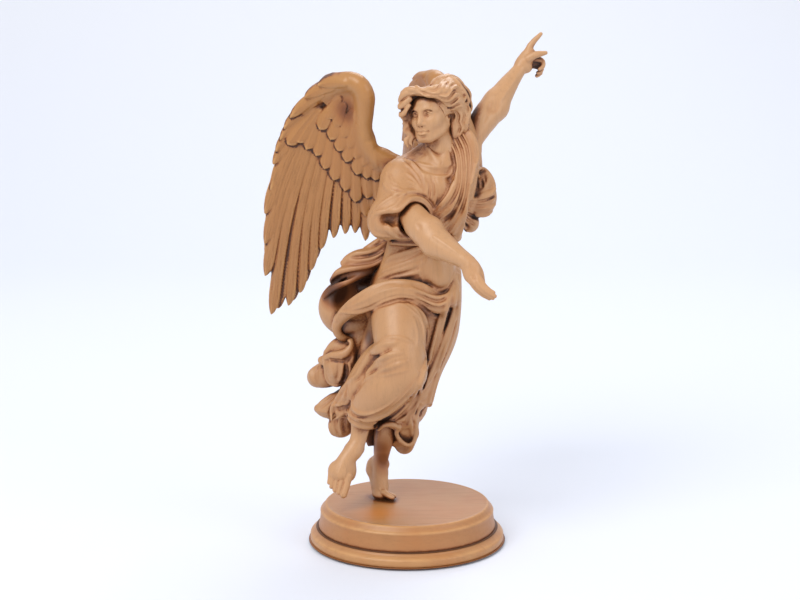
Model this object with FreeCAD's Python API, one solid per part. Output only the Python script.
"""Carved wooden figurine: a winged, robed figure on a turned round base, in millimetres.

The carving is laid out on a pattern whose coordinates are named below. The pattern is scaled to
figure_height and stands on base_height, so a taller figure or a thicker base keeps every joint
together. Each carved piece meets its neighbour on a glue face and is located by a dowel.
+Z is up, the figure faces -Y, and the origin is the centre of the felt's underside.
"""
import FreeCAD
import Part
import math
import os

V = FreeCAD.Vector

# ---- driving dimensions ----
base_diameter = 120.0      # widest part of the plinth
base_height = 24.5         # felt, plinth and drum together
plinth_height = 8.0        # lower turned disc, without the felt
felt_thickness = 1.5
felt_margin = 4.0          # bare rim outside the felt
plinth_rim = 4.8           # upright part of the plinth's edge
drum_overhang = 5.3        # how far the plinth stands out beyond the drum's foot
drum_taper = 1.1           # how much the drum narrows up to its shoulder
bevel_run = 3.3            # bevel between the drum's shoulder and its top
bevel_height = 4.0
spigot_diameter = 40.0     # turned spigot that centres the drum on the plinth
spigot_length = 2.5
figure_height = 286.0      # base top to the tip of the raised finger

# ---- joint hardware ----
waist_dowel_diameter = 10.0
waist_dowel_length = 26.0
neck_dowel_diameter = 6.0
neck_dowel_length = 16.0
arm_dowel_diameter = 5.0
arm_dowel_length = 15.0
elbow_dowel_diameter = 4.0
elbow_dowel_length = 10.0
wrist_dowel_diameter = 2.5
wrist_dowel_length = 9.0
wing_dowel_diameter = 5.0
wing_dowel_length = 18.0
leg_dowel_diameter = 5.0
leg_dowel_length = 16.0
drape_dowel_diameter = 5.0
drape_dowel_length = 14.0
dowel_clearance = 0.1      # radial, filled with glue
dowel_end_gap = 0.5        # room for glue past each dowel's end
screw_diameter = 3.0
screw_head_diameter = 7.0
screw_head_height = 2.2
screw_bite = 17.0          # how far the screw goes up into the standing foot
screw_clearance = 0.05     # radial
washer_diameter = 10.0
washer_thickness = 1.0

# ---- wing ----
blade_thickness = 3.0      # flight feathers
covert_thickness = 1.8     # each tier of coverts laid on the one before
feather_width = 8.5
covert_width = 7.5

# ---- clothing ----
hem_wall = 2.5             # cloth thickness left round the recess under the hem
hem_recess = 12.0
cuff_wall = 3.0
cuff_depth = 9.0

# ---- the pattern ----
PATTERN_BASE = 27.0
PATTERN_HEIGHT = 286.0
SCALE = figure_height / PATTERN_HEIGHT
SECTION_POINTS = 28


def p(x, y, z):
    """A pattern point in the part's frame."""
    return V(x * SCALE, y * SCALE, base_height + (z - PATTERN_BASE) * SCALE)


def unit(x, y, z):
    v = V(x, y, z)
    v.normalize()
    return v


def polar(angle_deg):
    a = math.radians(angle_deg)
    return math.cos(a), math.sin(a)


# ---- building blocks ----
def section(centre, normal, side, a, b, lobes=0, ripple=0.0):
    """A closed smooth outline: an ellipse with half axes a along side and b across it, rippled by lobes."""
    side = side - normal * side.dot(normal)
    side.normalize()
    across = normal.cross(side)
    points = []
    for k in range(SECTION_POINTS):
        c, s = polar(360.0 * k / SECTION_POINTS)
        swell = 1.0 + ripple * math.cos(lobes * 2 * math.pi * k / SECTION_POINTS)
        points.append(centre + side * (a * SCALE * swell * c) + across * (b * SCALE * swell * s))
    curve = Part.BSplineCurve()
    curve.interpolate(points, PeriodicFlag=True)
    return Part.Wire(curve.toShape())


def loft(wires):
    solid = Part.makeLoft(wires, True, False)
    if solid.Volume < 0:
        solid.reverse()
    return solid


def column(rings, yaw=0.0, lobes=0, ripple=0.0):
    """A loft through level rings, each (x, y, z, half width, half depth)."""
    c, s = polar(yaw)
    last = len(rings) - 1
    return loft([
        section(p(x, y, z), V(0, 0, 1), V(c, s, 0), a, b, lobes, ripple * k / last)
        for k, (x, y, z, a, b) in enumerate(rings)
    ])


def limb(path, side, start=None, end=None, lobes=0, ripple=0.0):
    """A loft along a path of (x, y, z, half width, half depth). start and end fix the end faces' normals."""
    centres = [p(*q[:3]) for q in path]
    wires = []
    for k, q in enumerate(path):
        before, after = centres[max(k - 1, 0)], centres[min(k + 1, len(path) - 1)]
        normal = after - before
        if k == 0 and start is not None:
            normal = V(start)
        if k == len(path) - 1 and end is not None:
            normal = V(end)
        normal.normalize()
        wires.append(section(centres[k], normal, V(*side), q[3], q[4], lobes, ripple))
    return loft(wires)


def finger(start, end, radius):
    """A peg between two pattern points, round at its far end."""
    a, b = p(*start), p(*end)
    r = radius * SCALE
    reach = (b - a).Length
    c, s = polar(45)
    outline = Part.Wire([
        Part.LineSegment(V(0, 0, 0), V(r, 0, 0)).toShape(),
        Part.LineSegment(V(r, 0, 0), V(r, 0, reach)).toShape(),
        Part.Arc(V(r, 0, reach), V(r * c, 0, reach + r * s), V(0, 0, reach + r)).toShape(),
        Part.LineSegment(V(0, 0, reach + r), V(0, 0, 0)).toShape(),
    ])
    peg = Part.Face(outline).revolve(V(0, 0, 0), V(0, 0, 1), 360)
    peg.Placement = FreeCAD.Placement(a, FreeCAD.Rotation(V(0, 0, 1), b - a))
    return peg


def join(pieces):
    """One solid from pieces that overlap."""
    whole = pieces[0].multiFuse(pieces[1:]) if len(pieces) > 1 else pieces[0]
    return whole.removeSplitter()


class Dowel:
    """A dowel centred on a glue face, and the holes that it needs."""

    def __init__(self, at, along, diameter, length):
        self.at, self.along = at, along
        self.diameter, self.length = diameter, length

    def rod(self, radial=0.0, ends=0.0):
        half = self.length / 2 + ends
        return Part.makeCylinder(
            self.diameter / 2 + radial, 2 * half, self.at - self.along * half, self.along
        )

    def solid(self):
        return self.rod()

    def hole(self):
        return self.rod(dowel_clearance, dowel_end_gap)


# ---- glue faces, each a pattern point and a direction from the parent into the child ----
waist = Dowel(p(7, 0, 182), V(0, 0, 1), waist_dowel_diameter, waist_dowel_length)
neck = Dowel(p(19, 2, 247), V(0, 0, 1), neck_dowel_diameter, neck_dowel_length)
right_cuff = Dowel(p(0, -20.4, 210.3), unit(0.55, -0.66, -0.51), elbow_dowel_diameter, elbow_dowel_length)
left_cuff = Dowel(p(40, 7, 250), unit(0.55, 0.5, 0.67), arm_dowel_diameter, arm_dowel_length)
right_wrist = Dowel(p(34, -53, 184.8), unit(0.66, -0.36, -0.66), wrist_dowel_diameter, wrist_dowel_length)
left_wrist = Dowel(p(67.5, 33.5, 289), unit(0.6, 0.15, 0.79), wrist_dowel_diameter, wrist_dowel_length)
right_shoulder = Dowel(p(-7, -4, 227), unit(-0.5, -0.7, -0.5), arm_dowel_diameter, arm_dowel_length)
left_shoulder = Dowel(p(36.5, 2, 226), unit(1, 0, -0.15), arm_dowel_diameter, arm_dowel_length)
right_wing_root = Dowel(p(1, 9, 234), unit(-0.8, 0.5, 0.33), wing_dowel_diameter, wing_dowel_length)
left_wing_root = Dowel(p(14, 14, 233), unit(-0.1, 0.96, 0.25), wing_dowel_diameter, wing_dowel_length)
right_hip = Dowel(p(-26, -6, 86), V(0, 0, -1), leg_dowel_diameter, leg_dowel_length)
left_hip = Dowel(p(-10, 4, 86), V(0, 0, -1), leg_dowel_diameter, leg_dowel_length)
upper_drape_seat = Dowel(p(-19, 9, 160), unit(-1, 0.1, 0), drape_dowel_diameter, drape_dowel_length)
middle_drape_seat = Dowel(p(-22, 6, 124), unit(-1, 0.1, -0.2), drape_dowel_diameter, drape_dowel_length)
lower_drape_seat = Dowel(p(-27, 8, 96), unit(-1, 0.15, -0.3), drape_dowel_diameter, drape_dowel_length)
trailing_drape_seat = Dowel(p(24, 7, 140), unit(1, 0.15, 0), drape_dowel_diameter, drape_dowel_length)


# ---- turned base ----
drum_radius = base_diameter / 2 - drum_overhang
plinth_top = felt_thickness + plinth_height


def turned(outline):
    """Revolves an outline of lines and three-point arcs, given as radius and height, about Z."""
    edges = []
    for here, there in zip(outline, outline[1:] + outline[:1]):
        a, b = V(here[0], 0, here[1]), V(there[0], 0, there[1])
        if len(there) == 4:
            edges.append(Part.Arc(a, V(there[2], 0, there[3]), b).toShape())
        elif (b - a).Length > 1e-6:
            edges.append(Part.LineSegment(a, b).toShape())
    return Part.Face(Part.Wire(edges)).revolve(V(0, 0, 0), V(0, 0, 1), 360)


def make_plinth():
    widest, softening = base_diameter / 2, 1.2
    low, rim, high = felt_thickness, felt_thickness + plinth_rim, plinth_top
    brow = widest - softening / 2
    return turned([
        (0, low),
        (widest - softening, low),
        (brow, rim, widest, (low + rim) / 2),
        (drum_radius, high, (brow + drum_radius) / 2 + 0.5, (rim + high) / 2 + 0.4),
        (spigot_diameter / 2 + dowel_clearance, high),
        (spigot_diameter / 2 + dowel_clearance, high - spigot_length - dowel_clearance),
        (0, high - spigot_length - dowel_clearance),
    ])


def make_drum():
    low, high = plinth_top, base_height
    shoulder, waist_in = drum_radius - drum_taper, 0.4
    brow = high - bevel_height
    return turned([
        (0, low - spigot_length),
        (spigot_diameter / 2, low - spigot_length),
        (spigot_diameter / 2, low),
        (drum_radius, low),
        (shoulder, brow, (drum_radius + shoulder) / 2 - waist_in, (low + brow) / 2),
        (shoulder - bevel_run, high, shoulder - bevel_run / 2 + 0.3, high - bevel_height / 2 + 0.3),
        (0, high),
    ])


def make_felt():
    return Part.makeCylinder(base_diameter / 2 - 2.0 - felt_margin, felt_thickness)


screw_axis = p(-15.8, 9.6, PATTERN_BASE)


def upright(radius, low, high):
    return Part.makeCylinder(radius, high - low, V(screw_axis.x, screw_axis.y, low))


screw_seat = felt_thickness + screw_head_height + 0.4
washer_top = screw_seat + washer_thickness


def make_screw():
    tip = 3.0
    shank = upright(screw_diameter / 2, screw_seat, base_height + screw_bite - tip)
    head = upright(screw_head_diameter / 2, screw_seat - screw_head_height, screw_seat)
    point = Part.makeCone(
        screw_diameter / 2, 0.3, tip,
        V(screw_axis.x, screw_axis.y, base_height + screw_bite - tip),
    )
    slot = Part.makeBox(screw_head_diameter, 0.8, 1.0)
    slot.translate(V(screw_axis.x - screw_head_diameter / 2, screw_axis.y - 0.4, screw_seat - screw_head_height))
    return join([head, shank, point]).cut(slot)


def make_washer():
    ring = upright(washer_diameter / 2, screw_seat, washer_top)
    return ring.cut(upright(screw_diameter / 2 + 0.3, screw_seat - 1, washer_top + 1))


def screw_holes():
    """The screw's path through the base, with a pocket for its head and washer."""
    shank = upright(screw_diameter / 2 + 0.3, felt_thickness, base_height + 1)
    pocket = upright(washer_diameter / 2 + 0.5, felt_thickness - 1, washer_top)
    return shank.fuse(pocket)


def screw_bore():
    """The screw's pilot hole in the standing foot."""
    return upright(screw_diameter / 2 + screw_clearance, base_height - 1, base_height + screw_bite + dowel_end_gap)


# ---- body ----
def make_torso():
    return column([
        (7, 0, 182, 20, 14), (9, -1, 195, 20.5, 15), (13, -1, 208, 22, 16), (16, 0, 221, 24, 16),
        (17, 1, 233, 22, 13.5), (18.5, 2, 242, 13, 10.5), (19, 2, 247, 8.5, 8.5),
    ], yaw=20)


def make_skirt():
    rings = [
        (7, 0, 182, 20, 14), (5, 0, 170, 24, 18.5), (2, -3, 150, 23, 24), (1, -8, 130, 22.5, 27),
        (-4, -10, 112, 24, 28), (-11, -8, 95, 24, 26), (-18, -4, 80, 23, 22), (-19, -2, 74, 22, 20),
    ]
    body = column(rings, lobes=7, ripple=0.05)
    x, y, z, a, b = rings[-1]
    recess = column([
        (x, y, z - 1, a - hem_wall, b - hem_wall),
        (x + 0.5, y - 1, z + hem_recess, a - hem_wall, b - hem_wall),
    ])
    return body.cut(recess)


def make_head():
    turn = -30.0
    throat = column([(19, 2, 247, 7.5, 7.5), (17.5, 0.5, 257, 7.5, 7.5)])
    skull = column([
        (13.5, -6, 251.5, 4.5, 5.5), (13.5, -6.5, 254.5, 8.5, 9), (14.5, -4.5, 260.5, 12.5, 14),
        (15.5, -2, 268, 15, 17.5), (16, -1, 276, 16, 18.5), (16.5, 0, 283, 13.5, 15.5), (16.5, 1, 288, 6, 7),
    ], yaw=turn)
    nose = finger((7.8, -16.5, 268), (6.4, -19.2, 263.8), 1.5)
    locks = [
        finger((3, -7, 279), (-1.5, -6, 268), 4.0), finger((-1.5, -6, 268), (4, -7, 256), 3.6),
        finger((31, 0, 278), (33.5, 3, 266), 4.2), finger((30, 5, 270), (32, 8, 260), 4.0),
        finger((22, 10, 276), (26, 12, 262), 5.0),
    ]
    return join([throat, skull, nose, *locks])


def make_right_sleeve(torso):
    path = [(-3, -2, 232, 12, 11), (-5, -10, 223, 16, 13), (-5, -19, 214, 18, 13), (-4, -29, 206, 17, 11)]
    mouth = V(0.1, -0.8, -0.6)
    puff = limb(path, (1, 0, 0.1), None, mouth)
    x, y, z, a, b = path[-1]
    mouth.normalize()
    hollow = loft([
        section(p(x, y, z) + mouth * 1.0, mouth, V(1, 0, 0.1), a - cuff_wall, b - cuff_wall),
        section(p(x, y, z) - mouth * cuff_depth, mouth, V(1, 0, 0.1), a - 2 * cuff_wall, b - cuff_wall),
    ])
    return puff.cut(torso).cut(hollow)


def make_left_sleeve(torso):
    rings = [(33, 4, 194, 6, 6), (41, 1, 204, 9, 9), (43.5, 1, 216, 10.5, 11),
             (42, 2, 228, 9, 10), (39.5, 4.5, 240, 7.6, 8.5), (40, 7, 250, 8, 8)]
    puff = limb(rings, (1, 0, 0), None, left_cuff.along)
    return puff.cut(torso)


def make_right_forearm(sleeve):
    path = [(-2, -18, 212, 7, 7), (6, -29, 204.5, 8.5, 8.5), (14.3, -38, 198.7, 8.5, 8.5),
            (24, -46, 192.3, 6.4, 6), (34, -53, 184.8, 4.6, 4)]
    return limb(path, (0, 0.3, 1), right_cuff.along, right_wrist.along).cut(sleeve)


def make_left_arm():
    path = [(40, 7, 250, 7.3, 7.3), (46, 13, 259, 7.4, 7.4), (54, 21.5, 269.5, 8.5, 8),
            (60, 27, 279, 6.8, 6.6), (67.5, 33.5, 289, 4.3, 4.3)]
    return limb(path, (0, -1, 0.3), left_cuff.along, left_wrist.along)


def make_right_hand():
    palm = limb(
        [(34, -53, 184.8, 4.4, 3.9), (37.5, -55.5, 180.5, 5.5, 3.4), (40.5, -57, 176, 5.6, 2.8)],
        (0.5, -0.6, 0.4), right_wrist.along,
    )
    tips = [(50, -60, 167.5), (49.2, -62, 167), (47.4, -63, 167.5), (44.5, -62, 168.5)]
    fingers = [
        finger((41.5 - 1.3 * k, -56.0 - 1.5 * k, 177.5 - 0.9 * k), tip, 1.5 - 0.08 * k)
        for k, tip in enumerate(tips)
    ]
    thumb = finger((38.5, -54, 181), (44.2, -53, 172.5), 1.7)
    return join([palm, *fingers, thumb])


def make_left_hand():
    palm = limb(
        [(67.5, 33.5, 289, 4.2, 4.0), (70.5, 35, 294, 4.8, 3.8), (74, 36, 299.5, 4.8, 3.6)],
        (0.8, 0, -0.6), left_wrist.along,
    )
    index = [finger((72.5, 36, 299), (76, 36.6, 306), 1.7), finger((76, 36.6, 306), (81.2, 37.5, 312), 1.5)]
    curled = [
        finger((75 - 0.4 * k, 34 + 2.4 * k, 299 - 2.2 * k), (82.0 - 0.6 * k, 35 + 1.6 * k, 297 - 1.5 * k), 1.6)
        for k in range(3)
    ]
    thumb = finger((72, 32, 297), (83.2, 32, 302), 1.6)
    return join([palm, *index, *curled, thumb])


def make_toes(ball, spread, reach, radius):
    """Five pegs side by side, the great toe first."""
    toes = []
    for k in range(5):
        root = tuple(b + s * k for b, s in zip(ball, spread))
        length = 1.0 - 0.08 * k
        tip = tuple(r + d * length for r, d in zip(root, reach))
        toes.append(finger(root, tip, radius - 0.22 * k))
    return toes


def make_right_leg():
    shin = limb(
        [(-26, -6, 86, 6, 6.5), (-28.5, -8, 74, 6, 6.3), (-31.8, -10, 63, 5, 5.5),
         (-34.5, -13, 56, 5.5, 6), (-38.5, -17, 49, 7.2, 4.8), (-40.5, -18.5, 42, 7.6, 3.8)],
        (1, 0, 0), right_hip.along,
    )
    heel = finger((-33, -10, 60), (-33.5, -5, 52.5), 4.0)
    toes = make_toes((-36.5, -18.5, 43), (-2.4, 0.1, 0.6), (-3.0, -3.2, -9), 2.2)
    return join([shin, heel, *toes])


def make_left_leg():
    shin = limb(
        [(-10, 4, 86, 7, 7), (-12.5, 6.5, 74, 7, 7), (-14.5, 9.5, 60, 5.2, 5.8), (-16.5, 11, 49, 4.8, 5.5),
         (-16.2, 10, 39, 5.0, 5.0), (-15.5, 8.5, 32, 5.6, 5.0), (-15.3, 8, PATTERN_BASE, 5.8, 4.8)],
        (1, 0, 0), left_hip.along, V(0, 0, -1),
    )
    heel = finger((-17, 11.5, 51), (-21, 15, 46.5), 3.6)
    toes = make_toes((-14.5, 4.5, 29.2), (-0.8, 2.0, 0), (6.5, -2.5, -0.4), 1.9)
    whole = join([shin, heel, *toes])
    under = Part.makeBox(80, 80, 20, V(screw_axis.x - 40, screw_axis.y - 40, base_height - 20))
    return whole.cut(under)


# ---- flying cloth ----
def make_upper_drape(skirt, torso):
    path = [(-8, 10, 180, 6, 7), (-22, 12, 173, 9, 10), (-33, 13, 163, 14, 12),
            (-38, 12, 152, 14.5, 12), (-36, 10, 141, 11, 10), (-30, 9, 134, 6, 6)]
    return limb(path, (0.6, 0, 0.8), lobes=5, ripple=0.07).cut(skirt).cut(torso)


def make_middle_drape(skirt):
    path = [(-14, 6, 128, 8, 10), (-27, 7, 122, 9, 11), (-38, 8, 116, 11, 11),
            (-48, 9, 109, 10.5, 9), (-55, 10, 105, 6, 6)]
    return limb(path, (0.6, 0, 0.8), lobes=5, ripple=0.07).cut(skirt)


def make_lower_drape(skirt, middle_drape):
    path = [(-22, 8, 104, 6, 8), (-32, 9, 95, 9, 10), (-42, 10, 87, 10, 9), (-50, 11, 81, 6.5, 6)]
    return limb(path, (0.6, 0, 0.8), lobes=5, ripple=0.07).cut(skirt).cut(middle_drape)


def make_trailing_drape(skirt):
    rings = [(12, 8, 88, 5, 10), (16, 9, 104, 7, 12), (21, 9, 122, 8.5, 13),
             (25, 8, 142, 8, 12.5), (27, 6, 160, 6.5, 11), (27, 4, 178, 4.5, 7)]
    return column(rings, lobes=5, ripple=0.08).cut(skirt)


# ---- wings, drawn flat: u runs outward from the root, v up, and the front face is at blade_thickness ----
FLIGHT_TIPS = [
    (72, 26), (81, 8), (86, -3), (89, -20), (94, -37), (97, -58), (100, -81), (97, -92), (100, -108),
    (88, -102), (79, -92), (70, -76), (61, -60), (52, -52), (44, -49), (37, -48), (31, -52),
]
COVERT_TIPS = [
    (75, 10), (69, 9), (64, 5), (58, 1), (53, -6), (47, -13), (40, -19), (34, -25), (25, -24), (20, -23),
]
SCALE_TIPS = [(54, 20), (47, 14), (42, 7), (37, 1), (30, -7), (24, -9), (18, -9)]
ARM_LINE = [(62, 36), (22, -2)]          # where the flight feathers are rooted, outermost first
COVERT_LINE = [(58, 38), (20, 10)]
SCALE_LINE = [(48, 44), (20, 20)]
ARCH = [(6, 1, 6.5), (13, 8, 6), (22, 20, 5.5), (24, 34, 6), (24, 46, 7), (32, 52, 6.5),
        (44, 48, 5.5), (58, 38, 4), (69, 29, 2.4)]


def slat(root, tip, width):
    """A flat feather outline from root to a round tip."""
    (u0, v0), (u1, v1) = root, tip
    r = width * SCALE / 2
    length = math.hypot(u1 - u0, v1 - v0) * SCALE - r
    along = V((u1 - u0), (v1 - v0), 0)
    along.normalize()
    across = V(-along.y, along.x, 0)
    a = V(u0, v0, 0) * SCALE
    b = a + along * length
    return Part.Face(Part.Wire([
        Part.LineSegment(a + across * r, b + across * r).toShape(),
        Part.Arc(b + across * r, b + along * r, b - across * r).toShape(),
        Part.LineSegment(b - across * r, a - across * r).toShape(),
        Part.LineSegment(a - across * r, a + across * r).toShape(),
    ]))


def tier(tips, line, width, low, thickness):
    """A row of feathers fused into one blade. line gives the first and last root."""
    (u0, v0), (u1, v1) = line
    last = len(tips) - 1
    slats = []
    for k, tip in enumerate(tips):
        t = k / last
        slats.append(slat((u0 + (u1 - u0) * t, v0 + (v1 - v0) * t), tip, width))
    outline = slats[0].multiFuse(slats[1:]).removeSplitter()
    blade = outline.extrude(V(0, 0, thickness * SCALE))
    blade.translate(V(0, 0, low * SCALE))
    return blade


def make_wing(root, placement, mirrored, torso):
    """One wing, laid out flat, set up by placement and led into its seat on the torso."""
    stem_sink = 4.0
    low = blade_thickness
    web_points = [V(u, v, 0) * SCALE for u, v in
                  [(8, -4), (20, 16), (22, 44), (34, 53), (60, 37), (66, 20), (44, 0), (24, -12), (8, -4)]]
    web = Part.Face(Part.makePolygon(web_points)).extrude(V(0, 0, (blade_thickness + covert_thickness) * SCALE))
    blades = [
        tier(FLIGHT_TIPS, ARM_LINE, feather_width, 0, blade_thickness),
        tier(COVERT_TIPS, COVERT_LINE, covert_width, low, covert_thickness),
        tier(SCALE_TIPS, SCALE_LINE, covert_width, low + covert_thickness, covert_thickness),
        web,
    ]
    flat = join(blades)
    if mirrored:
        flat = flat.mirror(V(0, 0, 0), V(0, 0, 1))
    flat.Placement = FreeCAD.Placement(placement)
    side = -1.0 if mirrored else 1.0
    facing = V(placement.A13, placement.A23, placement.A33) * side
    points = [placement.multiply(V(u, v, side * 2.5) * SCALE) for u, v, r in ARCH]
    wires = []
    for k, (u, v, r) in enumerate(ARCH):
        ahead = points[min(k + 1, len(ARCH) - 1)] - points[max(k - 1, 0)]
        ahead.normalize()
        wires.append(section(points[k], ahead, facing, r * 0.8, r))
    into = points[1] - root.at
    into.normalize()
    stem = loft([
        section(root.at - root.along * (stem_sink * SCALE), root.along, V(0, 0, 1), 6.5, 5.5),
        section(root.at + root.along * (stem_sink * SCALE), root.along, V(0, 0, 1), 6.5, 5.5),
        section(points[1], into, V(0, 0, 1), 5.5, 4.5),
    ])
    return join([flat, loft(wires), stem]).cut(torso)


def wing_frame(root, outward_deg, lean_deg):
    """Matrix from the flat wing to the part: u turns to outward_deg about Z, and the top leans over
    to the left of u for a positive lean."""
    c, s = polar(outward_deg)
    outward = V(c, s, 0)
    lc, ls = polar(lean_deg)
    up = V(0, 0, lc) + V(-s, c, 0) * ls
    m = FreeCAD.Matrix()
    for row, values in enumerate(zip(outward, up, outward.cross(up), root)):
        for column_index, value in enumerate(values):
            setattr(m, f"A{row + 1}{column_index + 1}", value)
    return m


# ---- assembly ----
def drilled(piece, *cutters):
    for cutter in cutters:
        piece = piece.cut(cutter)
    return piece


def build():
    torso = make_torso()
    skirt = make_skirt()
    right_sleeve = make_right_sleeve(torso)
    left_sleeve = make_left_sleeve(torso)
    right_forearm = make_right_forearm(right_sleeve)
    standing_leg = make_left_leg()
    middle_drape = make_middle_drape(skirt)
    right_wing = make_wing(right_wing_root, wing_frame(p(0, 17, 236), 163.3, 15), True, torso)
    left_wing = make_wing(left_wing_root, wing_frame(p(11, 21, 236), 97, -6), False, torso)

    nodes = {
        "felt_pad": make_felt(),
        "base_plinth": drilled(make_plinth(), screw_holes()),
        "base_drum": drilled(make_drum(), screw_holes()),
        "base_screw": make_screw(),
        "screw_washer": make_washer(),
        "skirt_block": drilled(
            skirt, waist.hole(), right_hip.hole(), left_hip.hole(), upper_drape_seat.hole(),
            middle_drape_seat.hole(), lower_drape_seat.hole(), trailing_drape_seat.hole(),
        ),
        "torso_block": drilled(
            torso, waist.hole(), neck.hole(), right_shoulder.hole(), left_shoulder.hole(),
            right_wing_root.hole(), left_wing_root.hole(),
        ),
        "head": drilled(make_head(), neck.hole()),
        "sleeve_right": drilled(right_sleeve, right_shoulder.hole(), right_cuff.hole()),
        "sleeve_left": drilled(left_sleeve, left_shoulder.hole(), left_cuff.hole()),
        "forearm_right": drilled(right_forearm, right_cuff.hole(), right_wrist.hole()),
        "arm_left": drilled(make_left_arm(), left_cuff.hole(), left_wrist.hole()),
        "hand_right": drilled(make_right_hand(), right_wrist.hole()),
        "hand_left": drilled(make_left_hand(), left_wrist.hole()),
        "leg_right": drilled(make_right_leg(), right_hip.hole()),
        "leg_left": drilled(standing_leg, left_hip.hole(), screw_bore()),
        "drape_upper": drilled(make_upper_drape(skirt, torso), upper_drape_seat.hole()),
        "drape_middle": drilled(middle_drape, middle_drape_seat.hole()),
        "drape_lower": drilled(make_lower_drape(skirt, middle_drape), lower_drape_seat.hole()),
        "drape_trailing": drilled(make_trailing_drape(skirt), trailing_drape_seat.hole()),
        "wing_right": drilled(right_wing, right_wing_root.hole()),
        "wing_left": drilled(left_wing, left_wing_root.hole()),
        "waist_dowel": waist.solid(),
        "neck_dowel": neck.solid(),
        "shoulder_dowel_right": right_shoulder.solid(),
        "shoulder_dowel_left": left_shoulder.solid(),
        "elbow_dowel_right": right_cuff.solid(),
        "arm_dowel_left": left_cuff.solid(),
        "wrist_dowel_right": right_wrist.solid(),
        "wrist_dowel_left": left_wrist.solid(),
        "wing_dowel_right": right_wing_root.solid(),
        "wing_dowel_left": left_wing_root.solid(),
        "leg_dowel_right": right_hip.solid(),
        "leg_dowel_left": left_hip.solid(),
        "drape_dowel_upper": upper_drape_seat.solid(),
        "drape_dowel_middle": middle_drape_seat.solid(),
        "drape_dowel_lower": lower_drape_seat.solid(),
        "drape_dowel_trailing": trailing_drape_seat.solid(),
    }
    return nodes


def main():
    os.makedirs("parts", exist_ok=True)
    for name, shape in build().items():
        solids = shape.Solids
        whole = max(solids, key=lambda solid: solid.Volume)
        print(f"{name:22s} solids {len(solids)} valid {shape.isValid()} volume {whole.Volume:10.1f}")
        whole.exportStep(f"parts/{name}.step")


main()
